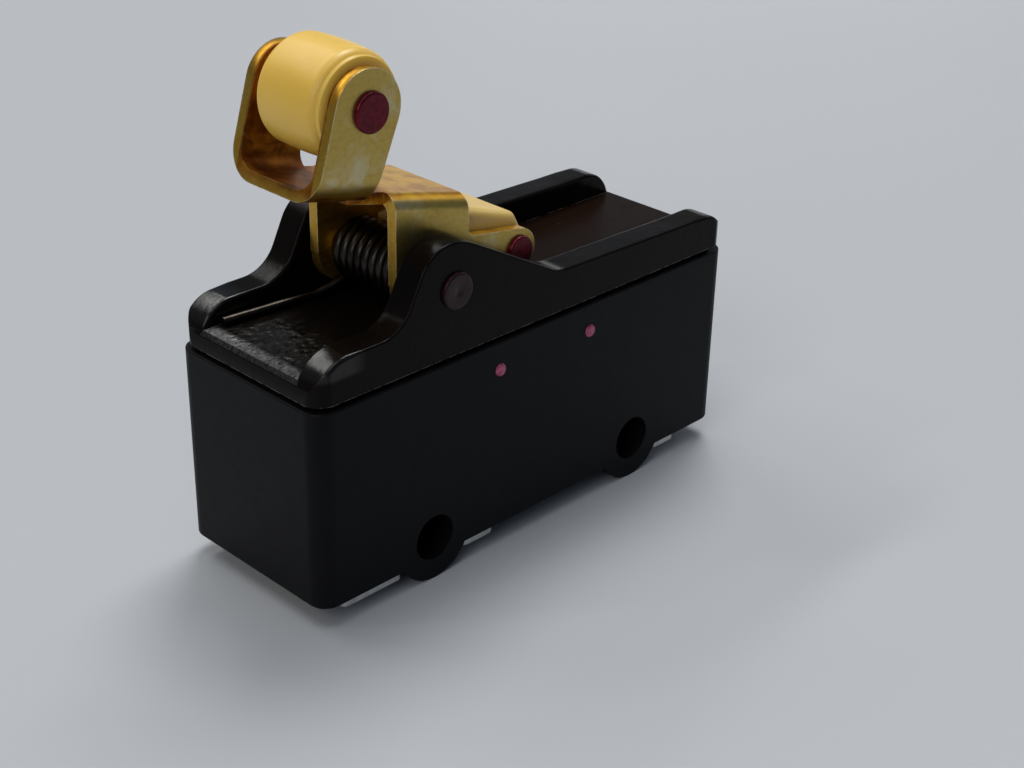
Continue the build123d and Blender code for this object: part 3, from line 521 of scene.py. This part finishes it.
M = {
    "case": phenolic_case(),
    "cover": phenolic_cover(),
    "gold": chromate(),
    "roller": nylon("nylon_roller", (0.80, 0.49, 0.055), (0.88, 0.58, 0.110)),
    "shoe": nylon("nylon_shoe", (0.66, 0.43, 0.085), (0.74, 0.52, 0.15)),
    "red": lacquer("red_lacquer", (0.085, 0.0030, 0.009), (0.150, 0.006, 0.018)),
    "red_dark": lacquer("red_lacquer_dark", (0.008, 0.0016, 0.0018), (0.024, 0.0035, 0.005), 0.0, (0.24, 0.012, 0.03), 0.0),
    "pink": lacquer("red_lacquer_pin", (0.30, 0.035, 0.10), (0.50, 0.10, 0.20), 0.3, (0.50, 0.16, 0.26), 0.3),
    "spring": metal("spring_steel", (0.022, 0.018, 0.016), (0.055, 0.047, 0.040), 0.24, (1, 1, 1), 1.0, (0.03, 0.02, 0.012)),
    "brass": metal("brass", (0.58, 0.40, 0.15), (0.78, 0.60, 0.27), 0.26, (1, 1, 1), 1.0, (0.30, 0.17, 0.06)),
    "tin": metal("tinned_brass", (0.50, 0.50, 0.49), (0.72, 0.72, 0.70), 0.30, (0.2, 2.0, 1.0), 1.0, (0.34, 0.33, 0.30)),
    "copper": metal("beryllium_copper", (0.62, 0.38, 0.18), (0.80, 0.56, 0.30), 0.26, (0.2, 2.0, 1.0), 1.0, (0.36, 0.19, 0.10)),
    "silver": metal("silver", (0.70, 0.69, 0.66), (0.86, 0.85, 0.82), 0.25, (1, 1, 1), 1.0, (0.40, 0.36, 0.30)),
    "resin": nylon("plunger_resin", (0.20, 0.03, 0.02), (0.30, 0.05, 0.03)),
}


def dress(obj, key, slot, body, *stands_for):
    obj.data.materials.clear()
    obj.data.materials.append(M[key])
    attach(obj, body)
    if stands_for:
        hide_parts(*stands_for)
    return obj


# -------------------------------------------------------------------- pieces
case_vis = refined("case", "case_body", 0.10, angle=35)
dress(case_vis, "case", "phenolic", "housing", "case")
cover_vis = refined("cover", "cover_body", 0.06, angle=30, segments=2)
dress(cover_vis, "cover", "phenolic", "housing", "cover")
lever_vis = refined("lever", "lever_sheet", 0.07, angle=35)
dress(lever_vis, "gold", "chromated_steel", "lever_arm", "lever")
shoe_vis = refined("shoe", "shoe_block", 0.12, angle=35)
dress(shoe_vis, "shoe", "nylon", "lever_arm", "shoe")

def round_through(x0, r0, x1, r1, x2, r2, n):
    """Points of the circular arc through three profile points."""
    a = 2 * (x1 - x0)
    b = 2 * (r1 - r0)
    c = 2 * (x2 - x0)
    d = 2 * (r2 - r0)
    e = x1 * x1 - x0 * x0 + r1 * r1 - r0 * r0
    f = x2 * x2 - x0 * x0 + r2 * r2 - r0 * r0
    det = a * d - b * c
    cx = (e * d - b * f) / det
    cr = (a * f - e * c) / det
    t0 = math.atan2(r0 - cr, x0 - cx)
    t2 = math.atan2(r2 - cr, x2 - cx)
    rad = math.hypot(x0 - cx, r0 - cr)
    turns = [t0 + (t2 - t0) * k / n for k in range(n + 1)]
    return [(cx + rad * math.cos(t), cr + rad * math.sin(t)) for t in turns]


roller_profile = (
    [(-4.22, 1.45), (-4.22, 2.40)]
    + arc(-4.22, 2.40, -4.12, 2.5, (-4.22, 2.5), 3)
    + [(-4.10, 2.5), (-4.10, 3.95)]
    + [(-4.07, 3.99), (-4.0, 4.01), (-3.80, 4.035), (-3.755, 4.055)]
    + round_through(-3.75, 4.06, -3.45, 4.32, -2.9, 4.44, 8)
    + round_through(-2.9, 4.445, -0.2, 4.585, 2.3, 4.535, 16)[1:]
    + round_through(2.3, 4.535, 2.8, 4.375, 3.0, 4.0, 8)[1:]
    + [(3.0, 2.5)]
    + arc(4.10, 2.5, 4.22, 2.38, (4.22, 2.5))
    + [(4.22, 1.45)]
)
roller_vis = lathe("roller_wheel_nylon", RX, RZ, roller_profile, 128)
dress(roller_vis, "roller", "nylon", "roller_wheel", "roller")


def rivet(name, cx, cz, half, head_r, head_t, shank, dimple=0.0):
    """Rivet along Y: flat heads with rounded rims, outside +-half."""
    top = half + head_t
    side = []
    if dimple:
        side += [(-top + 0.10, 0.0), (-top + 0.09, dimple * 0.5), (-top + 0.02, dimple), (-top, dimple + 0.08)]
    else:
        side += [(-top + 0.03, 0.0), (-top, head_r * 0.55)]
    side += [(-top, head_r - 0.22)]
    side += arc(-top, head_r - 0.20, -top + 0.20, head_r, (-top, head_r))
    side += [(-half, head_r), (-half, shank)]
    profile = side + [(-y, r) for y, r in reversed(side)]
    return lathe(name, cx, cz, profile, 72)


pivot_vis = rivet("pivot_rivet", PX, PZ, 8.8, 1.6, 0.36, 1.40, 0.42)
dress(pivot_vis, "red_dark", "red_lacquer", "housing", "pivot_pin")
roller_pin_vis = rivet("roller_rivet", RX, RZ, 5.4, 1.66, 0.4, 1.40)
dress(roller_pin_vis, "red", "red_lacquer", "lever_arm", "roller_pin")
shoe_pin_vis = rivet("shoe_rivet", SX, SZ, 5.4, 1.38, 0.42, 0.95)
dress(shoe_pin_vis, "red", "red_lacquer", "lever_arm", "shoe_pin")

# torsion spring: leg on the left deck, coil, leg on the lip of the shoe
WIRE_R, SPRING_R, PITCH, TURNS = 0.41, 2.45, 0.885, 8.25
half_h = TURNS * PITCH / 2
leg_z = 22.2 + WIRE_R + 0.01


def coil_point(t):
    a = -math.pi / 2 + 2 * math.pi * t
    return (PX + SPRING_R * math.cos(a), half_h - PITCH * t, PZ + SPRING_R * math.sin(a))


wire = []
start, hub = Vector((-22.85, 5.49, leg_z)), Vector((-14.3, 4.62, leg_z))
for k in range(13):
    wire.append(tuple(start.lerp(hub, k / 12)))
p0, p3 = hub, Vector(coil_point(0))
t0, t3 = Vector((0.9949, -0.1012, 0)), Vector((0.998, -0.057, 0))
for k in range(1, 20):
    t = k / 20
    h00, h10 = 2 * t**3 - 3 * t**2 + 1, t**3 - 2 * t**2 + t
    h01, h11 = -2 * t**3 + 3 * t**2, t**3 - t**2
    wire.append(tuple(h00 * p0 + h10 * 4.4 * t0 + h01 * p3 + h11 * 4.4 * t3))
steps = int(TURNS * 56)
for k in range(steps + 1):
    wire.append(coil_point(TURNS * k / steps))
end = Vector(wire[-1])
for k in range(1, 5):
    wire.append((end.x, end.y - 0.092 * k / 4, end.z + 1.6 * k / 4))
for k in range(1, 9):
    a = k / 8 * math.pi / 2
    wire.append((end.x + 0.7 * (1 - math.cos(a)), end.y - 0.092 - 0.05 * k / 8, end.z + 1.6 + 0.72 * math.sin(a)))
last = Vector(wire[-1])
wire.append((-5.85, last.y, last.z))
spring_vis = tube("torsion_spring_wire", wire, WIRE_R)
spring_vis.data.materials.append(M["spring"])
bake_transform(spring_vis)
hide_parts("torsion_spring")

pins_vis = refined("cover_pins", "cover_pin_pair", 0.03, angle=35)
dress(pins_vis, "pink", "red_lacquer", "housing", "cover_pins")

for node, key, slot in (
    ("common_terminal", "tin", "tinned_brass"),
    ("nc_terminal", "tin", "tinned_brass"),
    ("no_terminal", "tin", "tinned_brass"),
    ("common_post", "brass", "brass"),
    ("no_post", "brass", "brass"),
    ("nc_post", "brass", "brass"),
):
    dress(refined(node, node + "_part", 0.06, angle=35), key, slot, "housing", node)

# nodes inside the case keep their CAD shape
for node, key in (
    ("pivot_sleeve", "brass"),
    ("leaf_anchor", "brass"),
    ("blade_spacer", "brass"),
    ("blade_nut", "brass"),
    ("nc_bracket", "brass"),
    ("snap_blade", "copper"),
    ("moving_contact", "silver"),
    ("no_contact", "silver"),
    ("nc_contact", "silver"),
    ("plunger", "resin"),
):
    data = nodes[node].data
    data.materials.clear()
    data.materials.append(M[key])

# --------------------------------------------------------------------- floor
def floor_material():
    s = Shader("table_top")
    broad = s.noise(0.006, 3, 0.5)
    fine = s.noise(1.4, 4, 0.6)
    base = s.mix(broad, (0.46, 0.475, 0.50), (0.50, 0.515, 0.54))
    base = s.mix(s.math("MULTIPLY", fine, 0.08), base, (0.42, 0.42, 0.43))
    rough = s.math("ADD", s.math("MULTIPLY", fine, 0.10), 0.42)
    s.principled(Base_Color=base, Roughness=rough, IOR=1.45, Specular_IOR_Level=0.35)
    s.bump((fine, 0.05, 0.02))
    return s.mat


bm = bmesh.new()
bmesh.ops.create_grid(bm, x_segments=2, y_segments=2, size=1.2)
floor = finish_mesh(bm, "floor")
floor.data.materials.append(floor_material())

# ------------------------------------------------------------------- lights
scene = bpy.context.scene
world = bpy.data.worlds.new("studio")
scene.world = world
world.use_nodes = True
bg = world.node_tree.nodes.get("Background") or world.node_tree.nodes.new("ShaderNodeBackground")
bg.inputs[0].default_value = (0.62, 0.78, 1.0, 1.0)
bg.inputs[1].default_value = 0.15


def area(name, where, target, size_x, size_y, power, color):
    data = bpy.data.lights.new(name, "AREA")
    data.shape = "RECTANGLE"
    data.size, data.size_y = size_x, size_y
    data.energy = power
    data.color = color
    obj = link(bpy.data.objects.new(name, data))
    obj.location = where
    obj.rotation_mode = "QUATERNION"
    obj.rotation_quaternion = (Vector(target) - Vector(where)).to_track_quat("-Z", "Y")
    return obj


area("main", (0.34, 0.20, 0.78), (0, 0, 0.02), 0.34, 0.34, 3.9, (1.0, 0.995, 0.98))
area("top", (-0.20, -0.04, 0.9), (0, 0, 0), 0.5, 0.5, 1.5, (1.0, 1.0, 1.0))
area("fill_left", (-0.74, -0.24, 0.52), (-0.06, 0, 0.02), 0.45, 0.45, 1.75, (1.0, 0.99, 0.96))
area("window_right", (0.84, 0.02, 0.42), (0, 0, 0.03), 0.40, 0.30, 0.6, (1.0, 0.99, 0.96))
area("window_low", (0.74, 0.54, 0.13), (0, 0, 0.03), 0.40, 0.12, 0.22, (1.0, 0.99, 0.97))
area("window_band", (-0.04, 0.66, 0.68), (0, 0, 0.02), 0.80, 0.08, 2.0, (1.0, 0.99, 0.97))
area("lamp", (-0.60, 0.42, 0.66), (0, 0, 0.02), 0.05, 0.06, 0.40, (1.0, 0.80, 0.45))

# ------------------------------------------------------------------- camera
cam_data = bpy.data.cameras.new("camera")
cam_data.lens = 61.18
cam_data.sensor_width = 36.0
cam_data.clip_start = 0.005
cam_data.clip_end = 10.0
cam = link(bpy.data.objects.new("camera", cam_data))
forward = Vector((0.63806, 0.61757, -0.45987)).normalized()
right = Vector((0.70281, -0.71109, 0.02019)).normalized()
up = right.cross(forward).normalized()
right = forward.cross(up).normalized()
cam.matrix_world = Matrix(
    (
        (right.x, up.x, -forward.x, -0.098714),
        (right.y, up.y, -forward.y, -0.101015),
        (right.z, up.z, -forward.z, 0.084084),
        (0, 0, 0, 1),
    )
)
scene.camera = cam
scene.view_settings.view_transform = "Standard"
